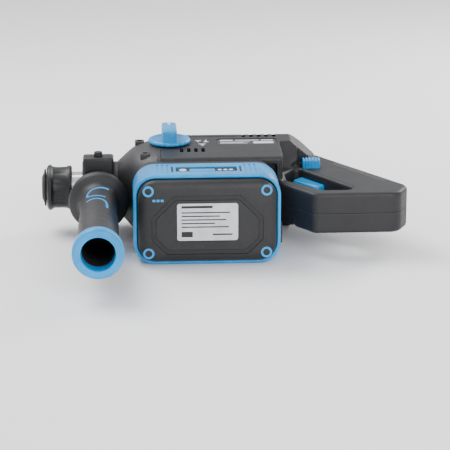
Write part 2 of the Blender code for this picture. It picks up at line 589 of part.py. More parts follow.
turned("side_handle_end_ring", [(18.5, -178.6), (20.5, -181), (20.5, -188), (18.5, SIDE_END_Y),
                                (13.5, SIDE_END_Y), (13, -188), (13, -178.6)],
       (SIDE_X, 0, 0), "Y", "blue", 28, ring=True)

bpy.context.view_layer.update()
for piece in parts.objects:
    if piece.type == "MESH":
        piece.data.shade_smooth()
        piece.data.set_sharp_from_angle(angle=math.radians(35))
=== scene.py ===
import math

import bmesh
import bpy
from mathutils import Matrix, Vector


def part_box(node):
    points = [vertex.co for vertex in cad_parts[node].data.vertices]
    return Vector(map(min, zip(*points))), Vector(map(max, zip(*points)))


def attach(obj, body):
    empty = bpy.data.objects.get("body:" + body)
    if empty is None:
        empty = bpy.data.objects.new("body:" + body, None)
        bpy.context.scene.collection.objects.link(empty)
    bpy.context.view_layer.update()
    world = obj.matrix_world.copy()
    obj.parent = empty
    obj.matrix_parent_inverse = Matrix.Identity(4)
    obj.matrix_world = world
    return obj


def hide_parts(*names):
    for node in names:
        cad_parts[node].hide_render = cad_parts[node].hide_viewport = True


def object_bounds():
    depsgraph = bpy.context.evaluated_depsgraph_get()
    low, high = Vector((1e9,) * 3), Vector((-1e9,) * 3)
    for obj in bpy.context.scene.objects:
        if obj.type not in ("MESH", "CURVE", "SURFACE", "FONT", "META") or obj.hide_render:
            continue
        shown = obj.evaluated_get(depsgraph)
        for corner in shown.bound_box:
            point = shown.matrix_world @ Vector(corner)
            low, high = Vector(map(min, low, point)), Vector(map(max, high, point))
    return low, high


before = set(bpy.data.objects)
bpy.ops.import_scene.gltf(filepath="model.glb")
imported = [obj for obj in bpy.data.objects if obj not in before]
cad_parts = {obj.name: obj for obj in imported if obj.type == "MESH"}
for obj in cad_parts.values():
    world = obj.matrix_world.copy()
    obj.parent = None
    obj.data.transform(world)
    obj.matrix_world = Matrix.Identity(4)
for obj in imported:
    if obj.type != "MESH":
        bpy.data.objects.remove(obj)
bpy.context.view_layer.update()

# ----------------------------------------------------------------------
# Housing shells: two glass-filled nylon halves that hold the motor and form the D-shaped rear handle. They meet
# on the tool's centre plane and are held by five screws from the right. The tool frame has its origin on the
# barrel axis below the mode knob: X runs back along the barrel, Y up, Z to the tool's left, in millimetres.

MM = 0.001
knob_low, knob_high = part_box("mode_knob")
floor_side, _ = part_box("battery_bumper")
HALF_WIDTH = 37.5
AXIS = Vector(((knob_low[0] + knob_high[0]) / 2, (knob_low[1] + knob_high[1]) / 2,
               floor_side[2] + HALF_WIDTH * MM))


def spot(x, y, z):
    """A point given in the tool frame, in metres."""
    return AXIS + Vector((x, y, z)) * MM


def new_piece(name, bm):
    """Turn a bmesh into an object of the scene."""
    mesh = bpy.data.meshes.new(name)
    bmesh.ops.recalc_face_normals(bm, faces=bm.faces)
    bm.to_mesh(mesh)
    bm.free()
    piece = bpy.data.objects.new(name, mesh)
    bpy.context.scene.collection.objects.link(piece)
    return piece


def settle(piece):
    """Apply the piece's modifiers to its mesh."""
    bpy.context.view_layer.update()
    graph = bpy.context.evaluated_depsgraph_get()
    mesh = bpy.data.meshes.new_from_object(piece.evaluated_get(graph))
    piece.modifiers.clear()
    piece.data = mesh
    return piece


def boolean(piece, operation, *others):
    """Join, cut or keep what is common, and use the other pieces up."""
    for other in others:
        step = piece.modifiers.new(operation, "BOOLEAN")
        step.operation = operation
        step.object = other
        step.solver = "EXACT"
    settle(piece)
    for other in others:
        bpy.data.objects.remove(other, do_unlink=True)
    return piece


def rounded(corners, steps=8):
    """An outline through (x, y, radius) corners, each rounded by an arc."""
    points = []
    for i, (x, y, radius) in enumerate(corners):
        here = Vector((x, y))
        if radius == 0:
            points.append((x, y))
            continue
        before = (Vector(corners[i - 1][:2]) - here).normalized()
        after = (Vector(corners[(i + 1) % len(corners)][:2]) - here).normalized()
        half = before.angle(after) / 2
        reach = radius / math.tan(half)
        centre = here + (before + after).normalized() * radius / math.sin(half)
        start = here + before * reach - centre
        sweep = start.angle_signed(here + after * reach - centre)
        for k in range(steps + 1):
            points.append(tuple(centre + Matrix.Rotation(-sweep * k / steps, 2) @ start))
    return points


def oblong(x0, x1, y0, y1, radius, steps=8):
    return rounded([(x0, y0, radius), (x1, y0, radius), (x1, y1, radius), (x0, y1, radius)], steps)


LAY = {"side": lambda a, b, t: (a, b, t), "cross": lambda a, b, t: (t, a, b), "top": lambda a, b, t: (a, t, b)}


def draw_out(bm, outline, low, high, lay):
    """Add an outline, drawn out from low to high, to a bmesh."""
    rings = [[bm.verts.new(spot(*LAY[lay](a, b, t))) for a, b in outline] for t in (low, high)]
    bm.faces.new(rings[0])
    bm.faces.new(rings[1])
    for k in range(len(outline)):
        nxt = (k + 1) % len(outline)
        bm.faces.new((rings[0][k], rings[0][nxt], rings[1][nxt], rings[1][k]))


def prism(name, outline, low, high, lay="side"):
    """A solid with its outline in the side view, the cross-section or the top view."""
    bm = bmesh.new()
    draw_out(bm, outline, low, high, lay)
    return new_piece(name, bm)


def block(name, low, high):
    """A box between two corners."""
    return prism(name, [(low[0], low[1]), (high[0], low[1]), (high[0], high[1]), (low[0], high[1])], low[2], high[2])


def dowel(name, radius, low, high, centre, lay="side", steps=32):
    """A round bar across the tool, along it, or up it."""
    ring = [(centre[0] + radius * math.cos(2 * math.pi * k / steps),
             centre[1] + radius * math.sin(2 * math.pi * k / steps)) for k in range(steps)]
    return prism(name, ring, low, high, lay)


def soften(piece, width, segments=3, angle=30):
    """Rounded edges, kept as a modifier."""
    edge = piece.modifiers.new("soften", "BEVEL")
    edge.width = width * MM
    edge.segments = segments
    edge.limit_method = "ANGLE"
    edge.angle_limit = math.radians(angle)
    return piece


def tablet(name, outline, low, high, lay="side", width=0.1, segments=1):
    """A prism with its edges rounded for good."""
    return settle(soften(prism(name, outline, low, high, lay), width, segments))


def mould(piece, voxel, passes):
    """Melt the piece's parts into one skin with small soft radii, as a mould gives them."""
    grid = piece.modifiers.new("grid", "REMESH")
    grid.mode = "VOXEL"
    grid.voxel_size = voxel * MM
    smooth = piece.modifiers.new("smooth", "SMOOTH")
    smooth.factor = 0.5
    smooth.iterations = passes
    return settle(piece)


def shade(piece, angle=35):
    """Smooth shading, with creases where faces meet at more than the angle."""
    piece.data.shade_smooth()
    piece.data.set_sharp_from_angle(angle=math.radians(angle))


BODY_FRONT = -8.0
BODY_BOTTOM = -50.0
BODY_TOP = 39.0
GRIP_HALF = 17.0
GRIP_TOP = Vector((109.0, -11.0))
GRIP_ALONG = Vector((0.551, -0.8345))
GRIP_IN = Vector((0.8345, 0.551))
GRIP_DEPTH = 40.0
SEAM = 0.15


def grip_point(along, inward):
    """A point of the grip: distance down the front strap, and into the grip from it."""
    return tuple(GRIP_TOP + along * GRIP_ALONG + inward * GRIP_IN)


ACROSS = rounded([(BODY_BOTTOM, -HALF_WIDTH, 3), (BODY_TOP, -HALF_WIDTH, 15), (BODY_TOP, HALF_WIDTH, 15),
                  (BODY_BOTTOM, HALF_WIDTH, 3)], 12)
SIDE_VIEW = rounded([(-30, BODY_BOTTOM, 0), (92, BODY_BOTTOM, 3), (94, -24, 10), (104, -8, 6), (116, -6, 0),
                     (126, 30, 4), (112, BODY_TOP, 6), (40, BODY_TOP, 0), (-30, 35, 0)])
TOP_VIEW = [(-30, -39), (101, -39), (128, -16.5), (128, 16.5), (101, 39), (-30, 39)]
HANDLE = rounded([(84, -46, 0), (115, -90, 8), (184, -90, 12), (195, -68, 12), (129, 31, 8), (116, BODY_TOP, 8),
                  (84, BODY_TOP, 0)], 12)
OPENING = rounded([(96, -46, 5), (96, -25, 8), (*grip_point(-3, 0), 4), (*grip_point(79, 0), 6), (122, -77, 6)], 10)


def skin(name):
    """The outside of the whole housing, both halves in one."""
    body = prism(name, ACROSS, BODY_FRONT - 6, 130, "cross")
    boolean(body, "INTERSECT", prism("side", SIDE_VIEW, -50, 50), prism("plan", TOP_VIEW, -60, 60, "top"))
    for side in (-1, 1):
        slope = [(3, 39.5), (-12, GRIP_HALF), (-60, GRIP_HALF), (-60, 60), (3, 60)]
        boolean(body, "DIFFERENCE", prism("shoulder", [(y, side * z) for y, z in slope], 93, 135, "cross"))
    handle = prism("handle", HANDLE, -GRIP_HALF, GRIP_HALF)
    boolean(handle, "DIFFERENCE", prism("fingers", OPENING, -30, 30))
    settle(soften(handle, 4.5, 4))
    boolean(body, "UNION", handle)
    boolean(body, "DIFFERENCE", prism("fingers", OPENING, -30, 30))
    return body


def thumb_dish():
    """The hollow round the direction slider."""
    return settle(soften(block("dish", (108, -17, GRIP_HALF), (131, 1, 40)), 2))


def pad_seat(name, gap):
    """The core of the grip that the rubber pad wraps."""
    depth, half = GRIP_DEPTH - 2.5 + gap, GRIP_HALF - 2.5 + gap
    return prism(name, [grip_point(*p) for p in [(-20, 20), (100, 20), (100, depth), (-20, depth)]], -half, half)


def pad_region(gap):
    corners = [(4 - gap, 30 - gap), (74 + gap, 30 - gap), (68 + gap, 60), (4 - gap, 60)]
    return [grip_point(*p) for p in corners]


outer = skin("outer")
boolean(outer, "DIFFERENCE", thumb_dish())
mould(outer, 0.9, 3)
pad_skin = outer.copy()
pad_skin.data = outer.data.copy()
bpy.context.scene.collection.objects.link(pad_skin)

BAY = (4.0, 88.0, -38.0, 32.0)
cavity = prism("cavity", rounded([(-35.5, -35, 2), (36.5, -35, 13), (36.5, 35, 13), (-35.5, 35, 2)]), -20, 101,
               "cross")
CAVITY_SIDE = [(-30, -36), (88.5, -36), (88.5, 6), (101, 8), (101, 36), (40, 36.5), (-30, 34)]
boolean(cavity, "INTERSECT", prism("cavity_side", CAVITY_SIDE, -50, 50),
        prism("cavity_plan", [(-30, -35), (97, -35), (101, -31), (101, 31), (97, 35), (-30, 35)], -60, 60, "top"))
grip_hollow = prism("grip_hollow", [grip_point(*p) for p in [(-10, 2.5), (78, 2.5), (74, 35), (-10, 35)]], -12, 12)
bay = prism("bay", oblong(BAY[0], BAY[1], -BAY[3], BAY[3], 2.5), BODY_BOTTOM - 5, BAY[2], "top")
TRIGGER_SLOT = [(1.6, -6), (34.4, -6), (34.4, 14.5), (1.6, 14.5)]
trigger_slot = prism("slot", [grip_point(*p) for p in TRIGGER_SLOT], -10.4, 10.4)
recess = prism("recess", pad_region(0.3), -30, 30)
boolean(recess, "DIFFERENCE", pad_seat("seat", 0))
front_cut = block("front_cut", (-40, -70, -60), (BODY_FRONT, 60, 60))

# sunk features of the moulding: label field, vent slots, side grooves and the border round the bay
label_field = tablet("label_field", oblong(40, 91, -7, 12, 3), HALF_WIDTH - 0.7, 42, "side", 0.3, 3)
vents = [prism(f"vent_{side}_{i}", oblong(62 + 6.5 * i, 65.5 + 6.5 * i, 17, 31, 1.6),
               *sorted((side * 26, side * 42)))
         for side in (-1, 1) for i in range(5)]
under_vents = [prism(f"low_vent_{side}_{i}", oblong(8 + 6 * i, 11 + 6 * i, -30, -18, 1.4),
                     *sorted((side * 33, side * 42))) for side in (-1, 1) for i in range(4)]
grooves = [prism(f"groove_{side}", [(10, 19), (58, 19), (58, 20.2), (10, 20.2)],
                 *sorted((side * 36.9, side * 42))) for side in (-1, 1)]
bay_step = prism("bay_step", oblong(BAY[0] - 1.8, BAY[1] + 1.6, -BAY[3] - 1.8, BAY[3] + 1.8, 3.5),
                 BODY_BOTTOM - 5, BODY_BOTTOM + 1.2, "top")
boolean(outer, "DIFFERENCE", cavity, grip_hollow, bay, trigger_slot, recess, front_cut, label_field, bay_step,
        *vents, *under_vents, *grooves)

BOSSES = [(2, 30), (60, 31), (104, 24), (171, -74), (103, -66)]
HEAD_DEPTH = [25.0, 25.0, 18.0, 9.0, 9.0]
halves = {}
for side, name in ((1, "housing_left"), (-1, "housing_right")):
    shell = outer.copy()
    shell.data = outer.data.copy()
    shell.name = name + "_shell"
    bpy.context.scene.collection.objects.link(shell)
    near, far = sorted((side * SEAM, side * 60))
    boolean(shell, "INTERSECT", block("half", (-20, -120, near), (220, 60, far)))
    if side > 0:
        slot = block("slider_slot", (111.7, -13.3, 11.7), (127.3, -2.7, 28.8))
        lens = block("lens_pocket", (-3.3, BODY_BOTTOM - 2, 14.7), (3.3, BODY_BOTTOM + 4.3, 28.3))
        boolean(shell, "DIFFERENCE", dowel("knob_hole", 6.4, 20, 50, (0, 0)), slot, lens)
    else:
        holes = [dowel(f"hole_{i}", 4.2, -50, -head - 2.2, centre)
                 for i, (centre, head) in enumerate(zip(BOSSES, HEAD_DEPTH))]
        boolean(shell, "DIFFERENCE", *holes)
    shade(shell)
    halves[name] = shell
bpy.data.objects.remove(outer, do_unlink=True)


def group(name, inputs, outputs):
    """A shader node group with named sockets. Returns the tree with its input and output nodes."""
    tree = bpy.data.node_groups.new(name, "ShaderNodeTree")
    for label, kind, value in inputs:
        socket = tree.interface.new_socket(label, in_out="INPUT", socket_type="NodeSocket" + kind)
        socket.default_value = value
    for label, kind in outputs:
        tree.interface.new_socket(label, in_out="OUTPUT", socket_type="NodeSocket" + kind)
    return tree, tree.nodes.new("NodeGroupInput"), tree.nodes.new("NodeGroupOutput")


def add(tree, kind, **settings):
    """A node with some of its properties and input values set."""
    node = tree.nodes.new("ShaderNode" + kind)
    for key, value in settings.items():
        if hasattr(node, key):
            setattr(node, key, value)
        else:
            node.inputs[key].default_value = value
    return node


def maths(tree, operation, a, b=None):
    """A Math node between sockets or numbers; returns its output."""
    node = tree.nodes.new("ShaderNodeMath")
    node.operation = operation
    for index, value in enumerate((a, b)):
        if value is None:
            continue
        if isinstance(value, (int, float)):
            node.inputs[index].default_value = value
        else:
            tree.links.new(value, node.inputs[index])
    return node.outputs[0]


def span(tree, value, low, high, to_low=0.0, to_high=1.0):
    """Map a range of values to another, clamped."""
    node = tree.nodes.new("ShaderNodeMapRange")
    tree.links.new(value, node.inputs["Value"])
    for label, number in (("From Min", low), ("From Max", high), ("To Min", to_low), ("To Max", to_high)):
        node.inputs[label].default_value = number
    return node.outputs["Result"]


def blend_colour(tree, factor, a, b):
    """A colour mix; a and b are sockets or RGB values."""
    node = tree.nodes.new("ShaderNodeMix")
    node.data_type = "RGBA"
    if isinstance(factor, (int, float)):
        node.inputs[0].default_value = factor
    else:
        tree.links.new(factor, node.inputs[0])
    for index, value in ((6, a), (7, b)):
        if isinstance(value, tuple):
            node.inputs[index].default_value = (*value[:3], 1.0)
        else:
            tree.links.new(value, node.inputs[index])
    return node.outputs[2]


# moulded grain: the fine spark-eroded texture of the mould, with a slow drift in tone and a little speckle
grain_tree, gi, go = group("moulded_grain", [("Scale", "Float", 1100.0), ("Depth", "Float", 1.0)],
                           [("Height", "Float"), ("Tone", "Float")])
where = add(grain_tree, "TexCoord")
fine = add(grain_tree, "TexNoise", Detail=3.0, Roughness=0.6)
pits = add(grain_tree, "TexVoronoi", feature="F1")
slow = add(grain_tree, "TexNoise", Scale=38.0, Detail=4.0, Roughness=0.55)
for node in (fine, pits, slow):
    grain_tree.links.new(where.outputs["Object"], node.inputs["Vector"])
for node in (fine, pits):
    grain_tree.links.new(gi.outputs["Scale"], node.inputs["Scale"])
mixed = maths(grain_tree, "ADD", fine.outputs[0], maths(grain_tree, "MULTIPLY", pits.outputs["Distance"], 0.6))
grain_tree.links.new(maths(grain_tree, "MULTIPLY", mixed, gi.outputs["Depth"]), go.inputs["Height"])
drift = maths(grain_tree, "MULTIPLY", slow.outputs[0], 0.7)
speckle = maths(grain_tree, "MULTIPLY", fine.outputs[0], 0.3)
grain_tree.links.new(maths(grain_tree, "ADD", drift, speckle), go.inputs["Tone"])

# edge wear: corners rubbed paler, broken up by noise
wear_tree, wi, wo = group("edge_wear", [("Reach", "Float", 0.53), ("Breakup", "Float", 0.5)], [("Mask", "Float")])
form = add(wear_tree, "NewGeometry")
where = add(wear_tree, "TexCoord")
chips = add(wear_tree, "TexNoise", Scale=160.0, Detail=5.0, Roughness=0.65)
wear_tree.links.new(where.outputs["Object"], chips.inputs["Vector"])
edge = add(wear_tree, "MapRange")
wear_tree.links.new(form.outputs["Pointiness"], edge.inputs["Value"])
wear_tree.links.new(wi.outputs["Reach"], edge.inputs["From Min"])
wear_tree.links.new(maths(wear_tree, "ADD", wi.outputs["Reach"], 0.07), edge.inputs["From Max"])
patch = maths(wear_tree, "SUBTRACT", 1.0, maths(wear_tree, "MULTIPLY", span(wear_tree, chips.outputs[0], 0.35, 0.65),
                                                 wi.outputs["Breakup"]))
wear_tree.links.new(maths(wear_tree, "MULTIPLY", edge.outputs["Result"], patch), wo.inputs["Mask"])

# handling marks: soft smears that change the gloss, and a few fine scratches
marks_tree, mi, mo = group("handling_marks", [("Amount", "Float", 0.1)], [("Gloss", "Float"), ("Scratch", "Float")])
where = add(marks_tree, "TexCoord")
smears = add(marks_tree, "TexNoise", Scale=55.0, Detail=6.0, Roughness=0.6, Distortion=0.8)
marks_tree.links.new(where.outputs["Object"], smears.inputs["Vector"])
marks_tree.links.new(maths(marks_tree, "MULTIPLY", maths(marks_tree, "SUBTRACT", smears.outputs[0], 0.5),
                           mi.outputs["Amount"]), mo.inputs["Gloss"])
stretch = add(marks_tree, "Mapping")
stretch.inputs["Scale"].default_value = (30.0, 420.0, 420.0)
stretch.inputs["Rotation"].default_value = (0.3, 0.2, 0.5)
marks_tree.links.new(where.outputs["Object"], stretch.inputs["Vector"])
hair = add(marks_tree, "TexNoise", Scale=1.0, Detail=1.0)
marks_tree.links.new(stretch.outputs[0], hair.inputs["Vector"])
marks_tree.links.new(span(marks_tree, hair.outputs[0], 0.68, 0.74), mo.inputs["Scratch"])


def use(tree, name, **values):
    """Place a node group in a material, with its own values."""
    node = tree.nodes.new("ShaderNodeGroup")
    node.node_tree = bpy.data.node_groups[name]
    for key, value in values.items():
        node.inputs[key].default_value = value
    return node


def bump(tree, shader, height, strength, distance):
    """Feed a height to the shader's normal."""
    node = tree.nodes.new("ShaderNodeBump")
    node.inputs["Strength"].default_value = strength
    node.inputs["Distance"].default_value = distance * MM
    tree.links.new(height, node.inputs["Height"])
    tree.links.new(node.outputs[0], shader.inputs["Normal"])
    return node


def plastic(name, colour, rough, grain=1100.0, depth=0.8, worn=1.6, gloss=0.16, coat=0.0):
    """Moulded plastic: grain, tone drift, paler worn edges, smears and faint scratches."""
    mat = bpy.data.materials.new(name)
    mat.use_nodes = True
    tree = mat.node_tree
    shader = tree.nodes["Principled BSDF"]
    texture = use(tree, "moulded_grain", Scale=grain)
    wear = use(tree, "edge_wear")
    marks = use(tree, "handling_marks", Amount=gloss)
    dark = tuple(c * 0.78 for c in colour)
    light = tuple(min(1.0, c * 1.2) for c in colour)
    base = blend_colour(tree, span(tree, texture.outputs["Tone"], 0.35, 0.65), dark, light)
    edge_tone = tuple(min(1.0, c * worn + 0.004) for c in colour)
    base = blend_colour(tree, maths(tree, "MULTIPLY", wear.outputs["Mask"], 0.6), base, edge_tone)
    scratch = maths(tree, "MULTIPLY", marks.outputs["Scratch"], 0.12)
    base = blend_colour(tree, scratch, base, edge_tone)
    tree.links.new(base, shader.inputs["Base Color"])
    tree.links.new(maths(tree, "ADD", rough, marks.outputs["Gloss"]), shader.inputs["Roughness"])
    shader.inputs["Coat Weight"].default_value = coat
    shader.inputs["Specular IOR Level"].default_value = 0.4
    bump(tree, shader, texture.outputs["Height"], depth, 0.2)
    return mat


def wear_as(piece, mat):
    """Give a piece one material."""
    piece.data.materials.clear()
    piece.data.materials.append(mat)


def fit(piece, mat, body, slot, *nodes):
    """Give a piece its material and the body it rides on, and hide the solids it stands for; slot is not used."""
    wear_as(piece, mat)
    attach(piece, body)
    if nodes:
        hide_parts(*nodes)


GRAPHITE = (0.014, 0.0137, 0.015)
graphite_plastic = plastic("graphite_plastic", GRAPHITE, 0.5)
for name, shell in halves.items():
    fit(shell, graphite_plastic, "root", "housing_plastic", name)

# ----------------------------------------------------------------------
# Housing furniture: the rating label as a satin film in its sunk field, with plain bars where words would be,
# and the five pan-head screws, which are the frame's own solids with their metal.


def flat_bars(name, bars, low, high, lay="side"):
    """Low bars that stand on a face as one piece, each from (x0, x1, y0, y1) in the view."""
    bm = bmesh.new()
    for x0, x1, y0, y1 in bars:
        draw_out(bm, [(x0, y0), (x1, y0), (x1, y1), (x0, y1)], low, high, lay)
    return new_piece(name, bm)


label = prism("rating_label", oblong(40.6, 90.4, -6.4, 11.4, 2.6), HALF_WIDTH - 0.66, HALF_WIDTH - 0.41)
label_film = plastic("label_film", (0.008, 0.008, 0.009), 0.3, depth=0.05, worn=1.2)
fit(label, label_film, "root", "black_plastic")
LABEL_BARS = [(43, 54, 5.8, 8.6), (56, 76, 6.4, 8.2), (78, 88, 5.8, 8.6), (43, 68, 1.4, 2.4), (43, 63, -0.6, 0.3),
              (43, 66, -2.8, -1.9), (71, 88, -3.4, 2.6)]
label_print = flat_bars("label_print", LABEL_BARS, HALF_WIDTH - 0.38, HALF_WIDTH - 0.26)
print_white = plastic("print_white", (0.62, 0.63, 0.65), 0.4, depth=0.05, worn=1.0)
fit(label_print, print_white, "root", "black_plastic")


def metal(name, colour, rough, brushed=0.25, direction=(20.0, 900.0, 900.0), worn=1.3):
    """Machined or plated metal: fine tool lines, tarnish and brighter edges."""
    mat = bpy.data.materials.new(name)
    mat.use_nodes = True
    tree = mat.node_tree
    shader = tree.nodes["Principled BSDF"]
    shader.inputs["Metallic"].default_value = 1.0
    where = add(tree, "TexCoord")
    lines = add(tree, "Mapping")
    lines.inputs["Scale"].default_value = direction
    tree.links.new(where.outputs["Object"], lines.inputs["Vector"])
    grain = add(tree, "TexNoise", Scale=1.0, Detail=4.0, Roughness=0.7)
    tree.links.new(lines.outputs[0], grain.inputs["Vector"])
    tarnish = add(tree, "TexNoise", Scale=90.0, Detail=5.0)
    tree.links.new(where.outputs["Object"], tarnish.inputs["Vector"])
    wear = use(tree, "edge_wear")
    dull = tuple(c * 0.72 for c in colour)
    bright = tuple(min(1.0, c * worn) for c in colour)
    base = blend_colour(tree, span(tree, tarnish.outputs[0], 0.3, 0.7), dull, colour)
    base = blend_colour(tree, wear.outputs["Mask"], base, bright)
    tree.links.new(base, shader.inputs["Base Color"])
    tree.links.new(span(tree, grain.outputs[0], 0.2, 0.8, rough - 0.08, rough + 0.12), shader.inputs["Roughness"])
    bump(tree, shader, grain.outputs[0], brushed, 0.02)
    return mat


zinc = metal("zinc_plate", (0.62, 0.62, 0.60), 0.34)
black_oxide = metal("black_oxide", (0.16, 0.16, 0.17), 0.38)


def keep_node(node, mat, bevel=0.0, segments=2):
    """Use the frame's own solid, with a finished material and broken edges."""
    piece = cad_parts[node]
    wear_as(piece, mat)
    shade(piece)
    if bevel:
        soften(piece, bevel, segments, 40)
    return piece


for i in range(1, 6):
    keep_node(f"housing_screw_{i}", black_oxide, 0.3)

# ----------------------------------------------------------------------
# Grip pad: a soft thermoplastic rubber pad that wraps the back strap, with a raised diamond texture.

pad = pad_skin
pad.name = "grip_pad_rubber"
boolean(pad, "INTERSECT", prism("pad_limits", pad_region(0), -30, 30))
boolean(pad, "DIFFERENCE", pad_seat("pad_inside", 0.3))
shade(pad)
rubber = bpy.data.materials.new("grip_rubber_diamond")
rubber.use_nodes = True
tree = rubber.node_tree
shader = tree.nodes["Principled BSDF"]
where = add(tree, "TexCoord")
turn = add(tree, "Mapping")
turn.inputs["Rotation"].default_value = (0.0, 0.0, math.atan2(GRIP_IN.x, GRIP_IN.y))
tree.links.new(where.outputs["Object"], turn.inputs["Vector"])
axes = add(tree, "SeparateXYZ")
tree.links.new(turn.outputs[0], axes.inputs[0])
PITCH = 2 * math.pi / (3.4 * MM)


def stripes(value_a, value_b, sign):
    """A wave across the sum or difference of two coordinates."""
    other = maths(tree, "MULTIPLY", value_b, sign)
    return maths(tree, "SINE", maths(tree, "MULTIPLY", maths(tree, "ADD", value_a, other), PITCH))


depth_axis = maths(tree, "ADD", axes.outputs["Z"], axes.outputs["Y"])
weave = maths(tree, "MULTIPLY", stripes(axes.outputs["X"], depth_axis, 1.0),
              stripes(axes.outputs["X"], depth_axis, -1.0))
diamond = span(tree, weave, -0.25, 0.35)
texture = use(tree, "moulded_grain", Scale=1900.0)
wear = use(tree, "edge_wear")
# painted shade: the sunk diamonds are coloured darker than the raised ones, as shade in the hollows of the texture
base = blend_colour(tree, diamond, (0.024, 0.024, 0.026), (0.052, 0.051, 0.054))
base = blend_colour(tree, maths(tree, "MULTIPLY", wear.outputs["Mask"], 0.4), base, (0.11, 0.11, 0.11))
tree.links.new(base, shader.inputs["Base Color"])
tree.links.new(span(tree, texture.outputs["Tone"], 0.3, 0.7, 0.62, 0.8), shader.inputs["Roughness"])
bump(tree, shader, maths(tree, "ADD", diamond, maths(tree, "MULTIPLY", texture.outputs["Height"], 0.15)), 0.7, 0.5)
fit(pad, rubber, "root", "grip_rubber", "grip_pad")

# ----------------------------------------------------------------------
# Gear housing: a glass-filled nylon casting in a lighter grey that flares from the round collar to the body.
# Screw lugs stand on its sides, and a moulded band marks the joint with the housing shells.

RINGS = [(-73.8, -21.2, 21.2, 21.2, 2.0), (-72.6, -21.5, 21.5, 21.5, 2.0), (-46, -21.5, 21.5, 21.5, 2.0),
         (-44, -21.5, 21.5, 21.5, 2.0), (-38, -28, 26, 27, 2.2), (-30, -39.6, 31.8, 33.2, 2.6),
         (-20, -45.2, 34.2, 36.3, 3.3), (-12, -46, 35.4, 37.2, 3.9), (BODY_FRONT - 0.3, -46, 35.5, 37.4, 4.0)]
INSIDE = [(-8.3, -42, 32, 34, 4.0), (-20, -41.3, 30.8, 32.3, 3.3), (-30, -35.8, 27.8, 29.3, 2.6),
          (-38, -24, 22, 23, 2.2), (-44, -15.2, 15.2, 15.2, 2.0), (-73.8, -15.2, 15.2, 15.2, 2.0)]


def between(rows, steps):
    """Smooth rows of numbers with a Catmull-Rom curve, keeping the first and last."""
    out = []
    for i in range(len(rows) - 1):
        p = [rows[max(i - 1, 0)], rows[i], rows[i + 1], rows[min(i + 2, len(rows) - 1)]]
        for k in range(steps):
            t = k / steps
            out.append(tuple(0.5 * (2 * b + (c - a) * t + (2 * a - 5 * b + 4 * c - d) * t * t
                                    + (3 * b - a - 3 * c + d) * t ** 3) for a, b, c, d in zip(*p)))
    return out + [rows[-1]]


def section(x, low, high, half_width, power, steps=96):
    """An ellipse round the barrel that grows squarer with its power."""
    ring = []
    for k in range(steps):
        c, s = math.cos(2 * math.pi * k / steps), math.sin(2 * math.pi * k / steps)
        y = (low + high) / 2 + (high - low) / 2 * math.copysign(abs(c) ** (2 / power), c)
        ring.append(spot(x, y, half_width * math.copysign(abs(s) ** (2 / power), s)))
    return ring


def loft(name, sections):
    """A closed skin through rings, joined end to end."""
    bm = bmesh.new()
    rings = [[bm.verts.new(p) for p in ring] for ring in sections]
    for ring, after in zip(rings, rings[1:] + rings[:1]):
        for k in range(len(ring)):
            nxt = (k + 1) % len(ring)
            bm.faces.new((ring[k], ring[nxt], after[nxt], after[k]))
    return new_piece(name, bm)


COLLAR_RINGS = 3
case_rings = RINGS[:COLLAR_RINGS] + between(RINGS[COLLAR_RINGS:], 5) + INSIDE
gear_case = loft("gear_case", [section(*ring) for ring in case_rings])
LUGS = [(-25, 14), (-21, -27)]
lugs = [tablet(f"lug_{side}_{i}", oblong(x - 4, x + 4, y - 4, y + 4, 1.5), *sorted((side * 26, side * 36.4)), "side",
               0.8, 3) for side in (-1, 1) for i, (x, y) in enumerate(LUGS)]
boolean(gear_case, "UNION", *lugs)
lug_holes = [dowel(f"lug_hole_{side}_{i}", 2.2, *sorted((side * 34.4, side * 42)), centre)
             for side in (-1, 1) for i, centre in enumerate(LUGS)]
joint_groove = loft("joint_groove", [section(x, low - g, high + g, half + g, 4.0) for x, low, high, half, g in
                                     ((-11.2, -46, 35.4, 37.3, -0.5), (-11.2, -46, 35.4, 37.3, 1.5),
                                      (-10.2, -46, 35.5, 37.4, 1.5), (-10.2, -46, 35.5, 37.4, -0.5))])
boolean(gear_case, "DIFFERENCE", joint_groove, *lug_holes)
shade(gear_case)
gear_grey = plastic("gear_case_grey", (0.032, 0.0315, 0.033), 0.46)
fit(gear_case, gear_grey, "root", "gear_case_plastic", "gear_housing")

# ----------------------------------------------------------------------
# Chuck: the ground steel hammer tube, the locking sleeve with its finger flutes, and the rubber dust cap that
# keeps grit out of the 10 mm bore. The sleeve slides back against a wave spring to free the locking ball.


TURN = {"X": lambda u, v, h: (h, u, v), "Y": lambda u, v, h: (u, h, v), "Z": lambda u, v, h: (u, v, h)}


def lathe(name, profile, axis, x=0.0, steps=96, flute=None):
    """Spin a closed (radius, height) profile round an axis; flute(angle, radius, height) may change the radius."""
    bm = bmesh.new()
    rings = []
    for k in range(steps):
        a = 2 * math.pi * k / steps
        radii = [flute(a, r, h) if flute else r for r, h in profile]
        places = [TURN[axis](r * math.cos(a), r * math.sin(a), h) for r, (_, h) in zip(radii, profile)]
        rings.append([bm.verts.new(spot(x + px, py, pz)) for px, py, pz in places])
    for ring, after in zip(rings, rings[1:] + rings[:1]):
        for k in range(len(ring)):
            nxt = (k + 1) % len(ring)
            bm.faces.new((ring[k], ring[nxt], after[nxt], after[k]))
    bmesh.ops.remove_doubles(bm, verts=bm.verts, dist=0.03 * MM)
    return new_piece(name, bm)


def finger_flutes(angle, radius, height):
    """Shallow finger hollows round the waist of the sleeve."""
    if radius < 15 or not -100 < height < -86:
        return radius
    depth = 0.55 * max(0.0, math.cos(12 * angle)) * math.sin(math.pi * (height + 100) / 14)
    return radius - depth


